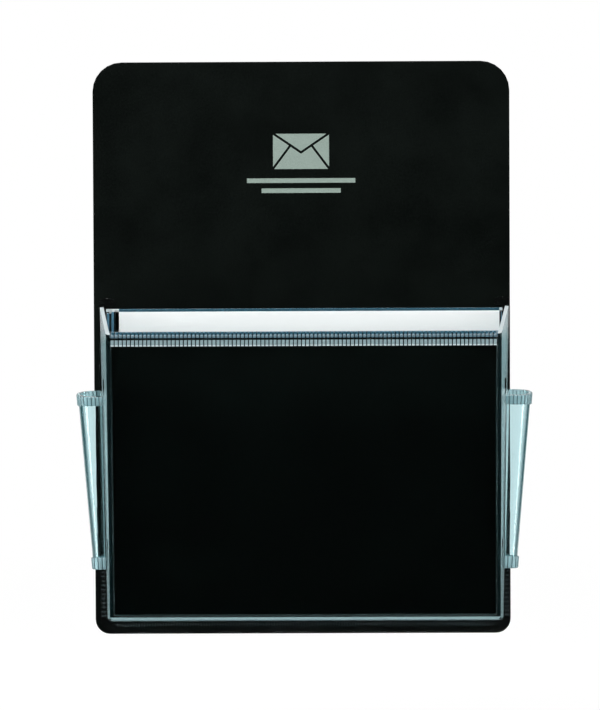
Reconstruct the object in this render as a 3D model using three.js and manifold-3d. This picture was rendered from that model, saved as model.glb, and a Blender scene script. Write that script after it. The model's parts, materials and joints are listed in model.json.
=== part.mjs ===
// A magnetic document pocket for a steel door or cabinet: a black backing sheet with magnet strips behind it,
// a clear tray welded to its front, a label rail in the tray's mouth and two clear pen tubes hooked on the
// tray's sides. Millimetres. +Z is up, +X is the viewer's right and the front faces -Y. The origin is the
// centre of the middle magnet's back face, which lies against the steel.

import * as THREE from "three";
import { mergeVertices } from "three/addons/utils/BufferGeometryUtils.js";
import Module from "manifold-3d";

// Backing sheet
const PLATE_WIDTH = 200;
const PLATE_HEIGHT = 275;
const PLATE_THICKNESS = 1.8;
const PLATE_TOP_RADIUS = 14;
const PLATE_BOTTOM_RADIUS = 7;

// Magnet strips and the adhesive tape that holds them
const MAGNET_WIDTH = 170;
const MAGNET_HEIGHT = 40;
const MAGNET_THICKNESS = 1.5;
const MAGNET_END_MARGIN = 25.5;
const MAGNET_RADIUS = 2;
const TAPE_THICKNESS = 0.2;
const TAPE_MARGIN = 1.5;

// Clear tray: its walls spread towards the plate, and its front leans out towards the mouth. It is welded
// on a little to the right of the plate's middle.
const TRAY_OFFSET = 1.2;
const TRAY_WALL = 1.8;
const TRAY_REAR_HEIGHT = 152;
const TRAY_FLOOR_DEPTH = 14;
const TRAY_EDGE_RADIUS = 2;
const TRAY_INNER_RADIUS = 1.5;
const SIDE_FLARE_DEG = 8.5;
const SIDE_SPREAD_DEG = 1.1;
const FRONT_LEAN_DEG = 7;
const FLOOR_LEAN_DEG = 8;
const MOUTH_SLOPE_DEG = 22.6;

// Flange that is welded to the plate round the tray's foot and sides
const FLANGE_SIDE_INSET = 0.2;
const FLANGE_FOOT_INSET = 0.8;
const FLANGE_FOOT = 5.2;
const FLANGE_RIM = 0.2;
const FLANGE_THICKNESS = 1.2;
const FLANGE_REBATE = 0.3;
const EAR_WIDTH = 7.4;
const EAR_RISE = 3.8;
const EAR_RADIUS = 1.5;

// Ribbed edging strip over the front wall's top edge
const STRIP_THICKNESS = 1;
const STRIP_TOP = 1.3;
const STRIP_HEIGHT = 5.6;
const STRIP_ROUND = 0.8;
const STRIP_END_GAP = 0.3;
const WELD_GAP = 0.2;
const RIB_PITCH = 1.9;
const RIB_HEIGHT = 0.35;

// Label rail on the plate, and the card that stands in it
const RAIL_DROP = 1.3;
const RAIL_HEIGHT = 14.6;
const RAIL_BACK = 1;
const RAIL_LEDGE = 1;
const RAIL_LIP = 0.7;
const RAIL_LIP_HEIGHT = 2.6;
const RAIL_END_GAP = 0.7;
const LEFT_STOP = 4.5;
const RIGHT_STOP = 1;
const STOP_DROP = 0.4;
const STOP_INSET = 0.3;
const STOP_STEP = 1.6;
const STOP_STEP_WIDTH = 2.6;
const CARD_THICKNESS = 0.4;
const CARD_DROP = 1.4;
const CARD_GAP = 0.25;
const CARD_END_GAP = 0.5;
const CARD_END_PLAY = 1.2;

// Pen tubes
const TUBE_LENGTH = 84;
const TUBE_FOOT_HEIGHT = 26.5;
const TUBE_WALL = 1;
const TUBE_FLOOR = 1.2;
const TUBE_DEPTH = 10.5;
const TUBE_MOUTH_RADIUS = 7;
const TUBE_MOUTH_FLAT = 4.9;
const TUBE_FOOT_RADIUS = 4;
const TUBE_FOOT_FLAT = 2.4;
const TUBE_WALL_GAP = 0.4;
const MOUTH_TILT_DEG = 9;

// Ribbed bands round each tube's mouth and foot
const COLLAR_HEIGHT = 5.6;
const FOOT_BAND_HEIGHT = 5.7;
const BAND_THICKNESS = 0.45;
const BAND_RIB_HEIGHT = 0.2;
const BAND_START = 0.8;

// Hooks on the tubes and the keyhole slots that they slide in
const HOOK_NECK_WIDTH = 3;
const HOOK_HEAD_WIDTH = 6.4;
const HOOK_HEAD_THICKNESS = 0.8;
const HOOK_HEIGHT = 4;
const HOOK_INSET = 1.6;
const HOOK_GAP = 0.35;
const HOOK_LIFT = 8;

// Facets of a rounded corner, of the tray's floor edge, of the edging strip's small rounds, of a tube's
// outline and of a band's rib
const CORNER_STEPS = 6;
const FLOOR_EDGE_STEPS = 3;
const STRIP_ROUND_STEPS = 2;
const TUBE_STEPS = 36;
const BAND_RIB_STEPS = 4;

// Working values from the sizes above
const slope = (degrees) => Math.tan(THREE.MathUtils.degToRad(degrees));
const sideFlare = slope(SIDE_FLARE_DEG);
const sideSpread = slope(SIDE_SPREAD_DEG);
const frontLean = slope(FRONT_LEAN_DEG);
const floorLean = slope(FLOOR_LEAN_DEG);
const mouthSlope = slope(MOUTH_SLOPE_DEG);
const mouthTilt = slope(MOUTH_TILT_DEG);

const plateBack = MAGNET_THICKNESS + TAPE_THICKNESS;
const plateFront = plateBack + PLATE_THICKNESS;
const flangeHalfWidth = PLATE_WIDTH / 2 - FLANGE_SIDE_INSET - Math.abs(TRAY_OFFSET);
const flangeFootZ = FLANGE_FOOT_INSET - PLATE_HEIGHT / 2;
const floorZ = flangeFootZ + FLANGE_FOOT;
const rearTopZ = floorZ + TRAY_REAR_HEIGHT;

const wasm = await Module();
wasm.setup();

// A point given by its place across, its depth in front of the plate, and its height.
function place(across, depth, height) {
  return new THREE.Vector3(across, -(plateFront + depth), height);
}

// Half of the tray's outer width.
function trayHalfWidth(depth, height) {
  return flangeHalfWidth - FLANGE_RIM - sideFlare * depth - sideSpread * (rearTopZ - height);
}

// Depth of a face parallel to the tray's front, inset from it, where it meets a plane that starts at startZ
// on the plate and climbs towards the viewer.
function frontDepth(startZ, climb, inset) {
  return (TRAY_FLOOR_DEPTH - inset + frontLean * (startZ - floorZ)) / (1 - frontLean * climb);
}

// Points along a polygon whose corners { x, y, r } are rounded by arcs.
function outline(corners, steps = CORNER_STEPS) {
  const count = corners.length;
  return corners.flatMap((corner, i) => {
    const at = new THREE.Vector2(corner.x, corner.y);
    if (!corner.r) return [at];
    const before = corners[(i + count - 1) % count];
    const after = corners[(i + 1) % count];
    const back = new THREE.Vector2(before.x, before.y).sub(at).normalize();
    const ahead = new THREE.Vector2(after.x, after.y).sub(at).normalize();
    const halfAngle = Math.acos(THREE.MathUtils.clamp(back.dot(ahead), -1, 1)) / 2;
    const middle = back.clone().add(ahead).normalize();
    const centre = middle.multiplyScalar(corner.r / Math.sin(halfAngle)).add(at);
    const start = at.clone().addScaledVector(back, corner.r / Math.tan(halfAngle)).sub(centre);
    const turn = (Math.PI - 2 * halfAngle) * Math.sign(ahead.cross(back));
    return Array.from({ length: steps + 1 }, (_, step) =>
      start.clone().rotateAround(new THREE.Vector2(), (turn * step) / steps).add(centre),
    );
  });
}

// The two axes in which a ring of points is seen at its largest.
function flattened(ring) {
  const views = [
    ring.map((p) => new THREE.Vector2(p.x, p.y)),
    ring.map((p) => new THREE.Vector2(p.y, p.z)),
    ring.map((p) => new THREE.Vector2(p.z, p.x)),
  ];
  const size = (view) => Math.abs(THREE.ShapeUtils.area(view));
  return views.reduce((best, view) => (size(view) > size(best) ? view : best));
}

// Triangles over a flat ring, turning the way the ring runs.
function ringFaces(ring) {
  const view = flattened(ring);
  const forward = THREE.ShapeUtils.area(view) > 0;
  return THREE.ShapeUtils.triangulateShape(view, []).map(([a, b, c]) =>
    THREE.ShapeUtils.area([view[a], view[b], view[c]]) > 0 === forward ? [a, b, c] : [a, c, b],
  );
}

// A closed solid through rings that have equally many points.
function loft(rings) {
  const count = rings[0].length;
  const last = (rings.length - 1) * count;
  const faces = [];
  for (let base = 0; base < last; base += count) {
    for (let i = 0; i < count; i += 1) {
      const next = (i + 1) % count;
      faces.push([base + i, base + next, base + count + next]);
      faces.push([base + i, base + count + next, base + count + i]);
    }
  }
  ringFaces(rings[0]).forEach(([a, b, c]) => faces.push([a, c, b]));
  ringFaces(rings[rings.length - 1]).forEach((face) => faces.push(face.map((i) => i + last)));

  const points = rings.flat();
  const volume = faces.reduce(
    (sum, [a, b, c]) => sum + points[a].dot(new THREE.Vector3().crossVectors(points[b], points[c])),
    0,
  );
  const outward = volume > 0 ? faces : faces.map(([a, b, c]) => [a, c, b]);
  return new THREE.BufferGeometry().setFromPoints(points).setIndex(outward.flat());
}

// A bar of constant section along X. Its section is given as depth and height.
function bar(section, fromX, toX) {
  return loft([fromX, toX].map((x) => section.map((p) => place(x, p.x, p.y))));
}

// A flat piece parallel to the plate. Its outline is given across and up, and its back by its distance from
// the steel.
function slab(points, back, thickness) {
  return new THREE.ExtrudeGeometry(new THREE.Shape(points), { depth: thickness, bevelEnabled: false })
    .rotateX(Math.PI / 2)
    .translate(0, -back, 0);
}

function rectangle(fromX, toX, fromY, toY, r = 0) {
  return outline([
    { x: fromX, y: fromY, r },
    { x: toX, y: fromY, r },
    { x: toX, y: toY, r },
    { x: fromX, y: toY, r },
  ]);
}

function solid(geometry) {
  const bare = geometry.clone();
  bare.deleteAttribute("normal");
  bare.deleteAttribute("uv");
  const merged = mergeVertices(bare);
  return new wasm.Manifold(
    new wasm.Mesh({
      numProp: 3,
      vertProperties: merged.attributes.position.array,
      triVerts: new Uint32Array(merged.index.array),
    }),
  );
}

function surface(made) {
  const { vertProperties, triVerts } = made.getMesh();
  return new THREE.BufferGeometry()
    .setAttribute("position", new THREE.BufferAttribute(vertProperties, 3))
    .setIndex(new THREE.BufferAttribute(triVerts, 1));
}

const blackSheet = new THREE.MeshStandardMaterial({ color: 0x0b0f0d, roughness: 0.55, metalness: 0 });
const magnetRubber = new THREE.MeshStandardMaterial({ color: 0x2b2725, roughness: 0.8, metalness: 0 });
const adhesiveTape = new THREE.MeshStandardMaterial({ color: 0xd8d3c4, roughness: 0.7, metalness: 0 });
const whiteCard = new THREE.MeshStandardMaterial({ color: 0xecf0f0, roughness: 0.8, metalness: 0 });
const clearPlastic = new THREE.MeshStandardMaterial({
  color: 0xcfe4e6,
  roughness: 0.08,
  metalness: 0,
  transparent: true,
  opacity: 0.4,
});

function part(name, geometry, material) {
  const mesh = new THREE.Mesh(geometry, material);
  mesh.name = name;
  return mesh;
}

function backPlate() {
  const half = PLATE_WIDTH / 2;
  const top = PLATE_HEIGHT / 2;
  const sheet = outline([
    { x: -half, y: -top, r: PLATE_BOTTOM_RADIUS },
    { x: half, y: -top, r: PLATE_BOTTOM_RADIUS },
    { x: half, y: top, r: PLATE_TOP_RADIUS },
    { x: -half, y: top, r: PLATE_TOP_RADIUS },
  ]);
  return [part("back_plate", slab(sheet, plateBack, PLATE_THICKNESS), blackSheet)];
}

// Three rubber magnet strips, each with its layer of tape against the plate.
function magnets() {
  const panel = (height, margin) => {
    const halfWidth = MAGNET_WIDTH / 2 - margin;
    const halfHeight = MAGNET_HEIGHT / 2 - margin;
    return rectangle(-halfWidth, halfWidth, height - halfHeight, height + halfHeight, MAGNET_RADIUS);
  };
  const spacing = PLATE_HEIGHT / 2 - MAGNET_END_MARGIN - MAGNET_HEIGHT / 2;
  const heights = { top: spacing, middle: 0, bottom: -spacing };
  return Object.entries(heights).flatMap(([where, height]) => [
    part(`magnet_strip_${where}`, slab(panel(height, 0), 0, MAGNET_THICKNESS), magnetRubber),
    part(
      `magnet_tape_${where}`,
      slab(panel(height, TAPE_MARGIN), MAGNET_THICKNESS, TAPE_THICKNESS),
      adhesiveTape,
    ),
  ]);
}

// A cut across the tray in a plane that starts at startZ on the plate and climbs towards the viewer.
function trayRing(startZ, climb, inset, back, cornerRadius) {
  const front = frontDepth(startZ, climb, inset);
  const half = (depth) => trayHalfWidth(depth, startZ + climb * depth) - inset;
  return outline([
    { x: -half(back), y: back, r: 0 },
    { x: half(back), y: back, r: 0 },
    { x: half(front), y: front, r: cornerRadius },
    { x: -half(front), y: front, r: cornerRadius },
  ]).map((p) => place(p.x, p.y, startZ + climb * p.y));
}

// The tray's outer or inner form: a rounded floor edge below, and straight walls up to a sloping mouth.
function trayBlock(inset, back, edgeRadius, extraTop) {
  const floorRings = Array.from({ length: FLOOR_EDGE_STEPS + 1 }, (_, step) => {
    const angle = (Math.PI / 2) * (step / FLOOR_EDGE_STEPS);
    const draw = edgeRadius * (1 - Math.sin(angle));
    const rise = edgeRadius * (1 - Math.cos(angle));
    return trayRing(floorZ + inset + rise, floorLean, inset + draw, back, edgeRadius);
  });
  return loft([...floorRings, trayRing(rearTopZ + extraTop, -mouthSlope, inset, back, edgeRadius)]);
}

// The weld flange: round the tray's sides and foot, with an ear above each rear corner. Its inner edge lies
// just short of the walls' inner faces.
function flange() {
  const top = rearTopZ + EAR_RISE;
  const reach = TRAY_WALL - FLANGE_REBATE;
  const inner = (height) => trayHalfWidth(0, height) - reach;
  const innerFoot = floorZ + reach;
  const footRadius = Math.max(PLATE_BOTTOM_RADIUS - FLANGE_FOOT_INSET, 0);
  const rightHalf = [
    { x: flangeHalfWidth, y: flangeFootZ, r: footRadius },
    { x: flangeHalfWidth, y: top, r: EAR_RADIUS },
    { x: flangeHalfWidth - EAR_WIDTH, y: top, r: EAR_RADIUS },
    { x: flangeHalfWidth - EAR_WIDTH, y: rearTopZ, r: 0 },
    { x: inner(rearTopZ), y: rearTopZ, r: 0 },
    { x: inner(innerFoot), y: innerFoot, r: 0 },
  ];
  const leftHalf = rightHalf.map(({ x, y, r }) => ({ x: -x, y, r })).reverse();
  return slab(outline([...rightHalf, ...leftHalf]), plateFront, FLANGE_THICKNESS);
}

// The front wall's outer face at the mouth, and the strip's half length between the side walls.
const lipDepth = frontDepth(rearTopZ, -mouthSlope, 0);
const lipZ = rearTopZ - mouthSlope * lipDepth;
const stripHalfLength = trayHalfWidth(lipDepth, lipZ) - TRAY_WALL - STRIP_END_GAP;

// A point beside the front wall's top edge: up along the wall, and out from its outer face.
function besideLip({ x: up, y: out }) {
  const length = Math.hypot(1, frontLean);
  const depth = lipDepth + (up * frontLean + out) / length;
  const height = lipZ + (up - out * frontLean) / length;
  return new THREE.Vector2(depth, height);
}

// How far up along the front wall the sloping mouth lies, at a distance out from its outer face.
function mouthAt(out) {
  return (-out * (mouthSlope - frontLean)) / (1 + mouthSlope * frontLean);
}

// The front wall's top edge is lowered between the side walls, so that the edging strip lies flush with them.
function lipNotch() {
  const halfLength = stripHalfLength + STRIP_END_GAP;
  const reach = 2 * TRAY_WALL;
  const low = -(STRIP_TOP + WELD_GAP);
  const high = STRIP_HEIGHT;
  const section = rectangle(low, high, -reach, reach).map(besideLip);
  return bar(section, -halfLength, halfLength);
}

// The frame of a pen tube: X out from the tray's side wall, Z up along it, the origin where the tube's mouth
// meets it.
function tubeFrame(side) {
  const topZ = floorZ + TUBE_FOOT_HEIGHT + TUBE_LENGTH;
  const out = new THREE.Vector3(side, -sideFlare, -sideSpread).normalize();
  const up = new THREE.Vector3(0, 0, 1).projectOnPlane(out).normalize();
  const along = new THREE.Vector3().crossVectors(up, out);
  return new THREE.Matrix4()
    .makeBasis(out, along, up)
    .setPosition(place(side * trayHalfWidth(TUBE_DEPTH, topZ), TUBE_DEPTH, topZ));
}

function block(fromX, toX, width, fromZ, toZ) {
  return new THREE.BoxGeometry(toX - fromX, width, toZ - fromZ).translate(
    (fromX + toX) / 2,
    0,
    (fromZ + toZ) / 2,
  );
}

const hookHeights = [-HOOK_INSET - HOOK_HEIGHT, HOOK_INSET - TUBE_LENGTH];

// Keyhole slots: narrow where a hook's neck rests, wide above, where its head comes out.
function keyholes(side) {
  const frame = tubeFrame(side);
  return hookHeights.flatMap((foot) => {
    const throat = foot + HOOK_LIFT - HOOK_GAP;
    const top = foot + HOOK_LIFT + HOOK_HEIGHT + HOOK_GAP;
    const narrow = HOOK_NECK_WIDTH + 2 * HOOK_GAP;
    const wide = HOOK_HEAD_WIDTH + 2 * HOOK_GAP;
    const reach = 2 * TRAY_WALL;
    return [
      block(-reach, TRAY_WALL, narrow, foot - HOOK_GAP, top).applyMatrix4(frame),
      block(-reach, TRAY_WALL, wide, throat, top).applyMatrix4(frame),
    ];
  });
}

function pocketTray() {
  const outer = trayBlock(0, FLANGE_THICKNESS / 2, TRAY_EDGE_RADIUS, 0);
  const inner = trayBlock(TRAY_WALL, -TRAY_WALL, TRAY_INNER_RADIUS, TRAY_WALL);
  const cuts = [lipNotch(), ...keyholes(-1), ...keyholes(1)];
  const shell = solid(outer).subtract(solid(inner)).add(solid(flange()));
  const made = cuts.reduce((left, cut) => left.subtract(solid(cut)), shell);
  return [part("pocket_tray", surface(made), clearPlastic)];
}

// The U-shaped edging strip. Its front and top are ribbed: each rib is a crest between two valleys.
function mouthStrip() {
  const inside = -(TRAY_WALL + WELD_GAP);
  const section = (rib) => {
    const front = WELD_GAP + STRIP_THICKNESS + rib;
    const rear = inside - STRIP_THICKNESS;
    const corners = [
      { x: -STRIP_HEIGHT, y: front, r: 0 },
      { x: mouthAt(front) + rib, y: front, r: STRIP_ROUND },
      { x: mouthAt(rear) + rib, y: rear, r: STRIP_ROUND },
      { x: -STRIP_HEIGHT, y: rear, r: 0 },
      { x: -STRIP_HEIGHT, y: inside, r: 0 },
      { x: -STRIP_TOP, y: inside, r: 0 },
      { x: -STRIP_TOP, y: WELD_GAP, r: 0 },
      { x: -STRIP_HEIGHT, y: WELD_GAP, r: 0 },
    ];
    return outline(corners, STRIP_ROUND_STEPS).map(besideLip);
  };
  const ribs = Math.round((2 * stripHalfLength) / RIB_PITCH);
  const rings = Array.from({ length: 2 * ribs + 1 }, (_, step) => {
    const x = stripHalfLength * (step / ribs - 1);
    return section(step % 2 ? RIB_HEIGHT : 0).map((p) => place(x, p.x, p.y));
  });
  return [part("mouth_strip", loft(rings), clearPlastic)];
}

// The label rail: a flat back on its tape, a ledge and a low lip for the card, and a stop at each end, the
// left one stepped. The card is slid to the right, against the narrow stop.
function labelRail() {
  const top = rearTopZ - RAIL_DROP;
  const foot = top - RAIL_HEIGHT;
  const back = TAPE_THICKNESS;
  const channelBack = back + RAIL_BACK;
  const channelFront = channelBack + CARD_THICKNESS + 2 * CARD_GAP;
  const front = channelFront + RAIL_LIP;
  const halfLength = trayHalfWidth(front, foot) - TRAY_WALL - RAIL_END_GAP;
  const lipTop = foot + RAIL_LEDGE + RAIL_LIP_HEIGHT;
  const profile = [
    [back, foot],
    [front, foot],
    [front, lipTop],
    [channelFront, lipTop],
    [channelFront, foot + RAIL_LEDGE],
    [channelBack, foot + RAIL_LEDGE],
    [channelBack, top],
    [back, top],
  ].map(([depth, height]) => new THREE.Vector2(depth, height));
  const stopFoot = foot + RAIL_LEDGE / 2;
  const stopTop = top - STOP_DROP;
  const stopEnd = halfLength - STOP_INSET;
  const leftStop = [
    [-stopEnd, stopFoot],
    [LEFT_STOP - halfLength, stopFoot],
    [LEFT_STOP - halfLength, stopTop],
    [STOP_STEP_WIDTH - halfLength, stopTop],
    [STOP_STEP_WIDTH - halfLength, stopTop - STOP_STEP],
    [-stopEnd, stopTop - STOP_STEP],
  ].map(([x, z]) => new THREE.Vector2(x, z));
  const rightStop = rectangle(halfLength - RIGHT_STOP, stopEnd, stopFoot, stopTop - STOP_STEP);
  const stopBack = channelBack - RAIL_BACK / 2;
  const stopDepth = channelFront + RAIL_LIP / 2 - stopBack;
  const rail = [leftStop, rightStop]
    .map((stop) => solid(slab(stop, plateFront + stopBack, stopDepth)))
    .reduce((made, stop) => made.add(stop), solid(bar(profile, -halfLength, halfLength)));
  const tapeEnd = halfLength - TAPE_MARGIN;
  const tape = rectangle(-tapeEnd, tapeEnd, foot + TAPE_MARGIN, top - TAPE_MARGIN);
  const card = rectangle(
    LEFT_STOP + CARD_END_GAP + CARD_END_PLAY - halfLength,
    halfLength - RIGHT_STOP - CARD_END_GAP,
    foot + RAIL_LEDGE + CARD_GAP,
    top - CARD_DROP,
  );
  return [
    part("label_rail", surface(rail), clearPlastic),
    part("rail_tape", slab(tape, plateFront, TAPE_THICKNESS), adhesiveTape),
    part("index_card", slab(card, plateFront + channelBack + CARD_GAP, CARD_THICKNESS), whiteCard),
  ];
}

// A tube's D-shaped cut at a height below its mouth: the radius of its round side, and where that side
// starts.
function tubeCut(height) {
  const share = -height / TUBE_LENGTH;
  return {
    radius: THREE.MathUtils.lerp(TUBE_MOUTH_RADIUS, TUBE_FOOT_RADIUS, share),
    centre: TUBE_WALL_GAP + THREE.MathUtils.lerp(TUBE_MOUTH_FLAT, TUBE_FOOT_FLAT, share),
  };
}

// Points along the D from startX round to startX again, grown by a distance that may change from point to
// point.
function alongD({ radius, centre }, startX, grown, steps) {
  const straight = centre - startX;
  const bend = Math.PI * radius;
  return Array.from({ length: steps + 1 }, (_, step) => {
    const travel = (step / steps) * (2 * straight + bend);
    const reach = radius + grown(step);
    if (travel < straight) return new THREE.Vector2(startX + travel, -reach);
    if (travel > straight + bend) {
      return new THREE.Vector2(startX + 2 * straight + bend - travel, reach);
    }
    const angle = (travel - straight) / radius - Math.PI / 2;
    return new THREE.Vector2(centre + reach * Math.cos(angle), reach * Math.sin(angle));
  });
}

// A ring of a tube at a height. The mouth is higher at the rear.
function tubeRing(points, height, tilt) {
  return points.map((p) => new THREE.Vector3(p.x, p.y, height + tilt * p.y));
}

// One tube with its hooks, closed at the foot. Its bore is cut on past the tilted mouth.
function penTube(rear) {
  const shape = (height, inset) =>
    alongD(tubeCut(height), TUBE_WALL_GAP + inset, () => -inset, TUBE_STEPS);
  const outer = loft([
    tubeRing(shape(-TUBE_LENGTH, 0), -TUBE_LENGTH, 0),
    tubeRing(shape(0, 0), 0, rear * mouthTilt),
  ]);
  const boreFloor = TUBE_FLOOR - TUBE_LENGTH;
  const boreTop = TUBE_MOUTH_RADIUS;
  const bore = loft([
    tubeRing(shape(boreFloor, TUBE_WALL), boreFloor, 0),
    tubeRing(shape(boreTop, TUBE_WALL), boreTop, 0),
  ]);
  const headOuter = -(TRAY_WALL + HOOK_GAP);
  const headInner = headOuter - HOOK_HEAD_THICKNESS;
  const neckRoot = TUBE_WALL_GAP + TUBE_WALL / 2;
  const hooks = hookHeights.flatMap((foot) => [
    block(headInner, neckRoot, HOOK_NECK_WIDTH, foot, foot + HOOK_HEIGHT),
    block(headInner, headOuter, HOOK_HEAD_WIDTH, foot, foot + HOOK_HEIGHT),
  ]);
  const tube = solid(outer).subtract(solid(bore));
  return surface(hooks.reduce((made, hook) => made.add(solid(hook)), tube));
}

// A ribbed band round a tube's front, outer and rear sides, open towards the tray.
function band(fromZ, toZ, tilt) {
  const { radius, centre } = tubeCut(toZ);
  const startX = TUBE_WALL_GAP + BAND_START;
  const ribs = Math.round((2 * (centre - startX) + Math.PI * radius) / RIB_PITCH);
  const steps = BAND_RIB_STEPS * ribs;
  const crest = BAND_RIB_STEPS / 2;
  const rib = (step) => (step % BAND_RIB_STEPS === crest ? BAND_RIB_HEIGHT : 0);
  const grown = (step) => WELD_GAP + BAND_THICKNESS + rib(step);
  const ring = (height, ringTilt) => {
    const outside = alongD(tubeCut(height), startX, grown, steps);
    const inside = alongD(tubeCut(height), startX, () => WELD_GAP, steps).reverse();
    return tubeRing([...outside, ...inside], height, ringTilt);
  };
  return loft([ring(fromZ, 0), ring(toZ, tilt)]);
}

function penHolder(name, side) {
  const holder = new THREE.Group();
  tubeFrame(side).decompose(holder.position, holder.quaternion, holder.scale);
  const footTop = FOOT_BAND_HEIGHT - TUBE_LENGTH;
  holder.add(
    part(`pen_tube_${name}`, penTube(side), clearPlastic),
    part(`tube_collar_${name}`, band(-COLLAR_HEIGHT, 0, side * mouthTilt), clearPlastic),
    part(`tube_foot_${name}`, band(-TUBE_LENGTH, footTop, 0), clearPlastic),
  );
  return holder;
}

const tray = new THREE.Group();
tray.position.x = TRAY_OFFSET;
tray.add(...pocketTray(), ...mouthStrip(), ...labelRail(), penHolder("left", -1), penHolder("right", 1));

const pocket = new THREE.Group();
pocket.add(...backPlate(), ...magnets(), tray);

export default pocket;
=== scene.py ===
import json
import math

import bmesh
import bpy
from mathutils import Matrix, Vector

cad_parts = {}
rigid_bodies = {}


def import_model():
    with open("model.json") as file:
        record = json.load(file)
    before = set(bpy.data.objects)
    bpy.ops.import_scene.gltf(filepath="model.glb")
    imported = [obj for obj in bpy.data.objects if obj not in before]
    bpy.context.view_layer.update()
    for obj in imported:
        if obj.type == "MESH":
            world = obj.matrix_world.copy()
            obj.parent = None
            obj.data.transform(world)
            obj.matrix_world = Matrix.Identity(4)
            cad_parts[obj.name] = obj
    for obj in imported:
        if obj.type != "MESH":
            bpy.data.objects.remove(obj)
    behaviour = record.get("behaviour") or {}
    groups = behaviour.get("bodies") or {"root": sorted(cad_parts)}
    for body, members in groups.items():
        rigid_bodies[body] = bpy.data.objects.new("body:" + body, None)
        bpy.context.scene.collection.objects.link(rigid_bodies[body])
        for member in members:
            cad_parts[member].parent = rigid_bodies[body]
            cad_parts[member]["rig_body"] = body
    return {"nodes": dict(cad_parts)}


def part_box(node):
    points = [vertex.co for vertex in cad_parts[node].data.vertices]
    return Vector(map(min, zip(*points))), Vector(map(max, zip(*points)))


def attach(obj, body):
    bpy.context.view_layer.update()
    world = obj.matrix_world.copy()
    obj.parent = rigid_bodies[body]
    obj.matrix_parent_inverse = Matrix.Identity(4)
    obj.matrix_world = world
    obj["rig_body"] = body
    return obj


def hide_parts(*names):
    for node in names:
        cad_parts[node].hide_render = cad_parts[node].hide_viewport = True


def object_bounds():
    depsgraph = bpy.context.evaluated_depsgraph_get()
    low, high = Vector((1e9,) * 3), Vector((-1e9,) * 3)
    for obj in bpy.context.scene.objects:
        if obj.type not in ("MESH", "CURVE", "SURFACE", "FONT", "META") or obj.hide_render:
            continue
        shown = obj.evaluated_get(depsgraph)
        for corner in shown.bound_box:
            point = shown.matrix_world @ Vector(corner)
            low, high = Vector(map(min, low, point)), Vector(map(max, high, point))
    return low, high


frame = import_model()
cad_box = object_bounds()

MM = 0.001

# Finished edges of the hard pieces
SHEET_EDGE = 0.35 * MM
TRAY_EDGE = 0.28 * MM
RAIL_EDGE = 0.15 * MM
TUBE_EDGE = 0.22 * MM
MAGNET_EDGE = 0.25 * MM
CARD_EDGE = 0.05 * MM
MERGE_DISTANCE = 0.0005 * MM
FLAT_ANGLE = math.radians(0.6)
EDGE_ANGLE = math.radians(32)
EDGE_SEGMENTS = 2
RIB_ANGLE = math.radians(50)

# Clear tray: where its walls stand on the sheet, how they lean, and its mouth
TRAY_LOW, TRAY_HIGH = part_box("pocket_tray")
TRAY_MIDDLE = (TRAY_LOW.x + TRAY_HIGH.x) / 2
SHEET_FRONT = TRAY_HIGH.y
FLANGE_HALF = (TRAY_HIGH.x - TRAY_LOW.x) / 2
FLANGE_RIM = 0.2 * MM
FLANGE_FOOT = 5.2 * MM
FLANGE_THICKNESS = 1.2 * MM
EAR_RISE = 3.8 * MM
TRAY_WALL = 1.8 * MM
TRAY_TOP = TRAY_HIGH.z - EAR_RISE
TRAY_FLOOR = TRAY_LOW.z + FLANGE_FOOT
FLOOR_DEPTH = 14 * MM
SIDE_FLARE = math.tan(math.radians(8.5))
SIDE_SPREAD = math.tan(math.radians(1.1))
FRONT_LEAN = math.tan(math.radians(7))
FLOOR_LEAN = math.tan(math.radians(8))
MOUTH_SLOPE = math.tan(math.radians(22.6))
LIP_DEPTH = (FLOOR_DEPTH + FRONT_LEAN * (TRAY_TOP - TRAY_FLOOR)) / (1 + FRONT_LEAN * MOUTH_SLOPE)
LIP_HEIGHT = TRAY_TOP - MOUTH_SLOPE * LIP_DEPTH
# Painted light on the tray: a pale strip along the front's foot up to the foot line, and walls that pale
# over this fade about the mouth
FOOT_RISE = 1.3 * MM
FOOT_LINE = TRAY_FLOOR + FLOOR_LEAN * FLOOR_DEPTH + FOOT_RISE
MOUTH_FADE = 4 * MM
# Painted shade on the tray's front: full this far in from its sides and foot, gone by the second distance
CORNER_DARK = 2.2 * MM
CORNER_CLEAR = 3.2 * MM

# Faces that take another finish: how far they may lie off a surface, and how squarely they face a way
ZONE_MARGIN = 0.5 * MM
FLAT_MARGIN = 0.1 * MM
SQUARELY = 0.9
MOSTLY = 0.6
HALFWAY = 0.5
SOMEWHAT = 0.3

# Finishes: how wide the patches of each texture are, how deep its relief is, and its two tints
VINYL_PEBBLE = 0.55 * MM
VINYL_SPECK = 0.16 * MM
VINYL_FLECK = 0.7 * MM
VINYL_CLOUD = 38 * MM
VINYL_RELIEF = 0.03 * MM
VINYL_TINTS = ((0.0004, 0.0012, 0.0008, 1), (0.0034, 0.0056, 0.0045, 1))
PLASTIC_FLOW = 9 * MM
PLASTIC_RUB = 1.3 * MM
PLASTIC_RELIEF = 0.06 * MM
PLASTIC_IOR = 1.5
RUBBER_POLE = 6.5 * MM
RUBBER_GRIT = 0.5 * MM
RUBBER_WEAR = 14 * MM
RUBBER_RELIEF = 0.05 * MM
RUBBER_TINTS = ((0.016, 0.013, 0.012, 1), (0.042, 0.036, 0.033, 1))
TAPE_FIBRE = 0.9 * MM
TAPE_BLOT = 6 * MM
TAPE_RELIEF = 0.02 * MM
TAPE_TINTS = ((0.62, 0.58, 0.5, 1), (0.78, 0.75, 0.67, 1))
CARD_FIBRE = 0.35 * MM
CARD_CLOUD = 22 * MM
CARD_RELIEF = 0.012 * MM
CARD_TINTS = ((0.75, 0.775, 0.775, 1), (0.80, 0.825, 0.825, 1))
INK_BREAK = 0.4 * MM
INK_RELIEF = 0.02 * MM
INK_TINTS = ((0.15, 0.196, 0.173, 1), (0.21, 0.268, 0.237, 1))
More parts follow.
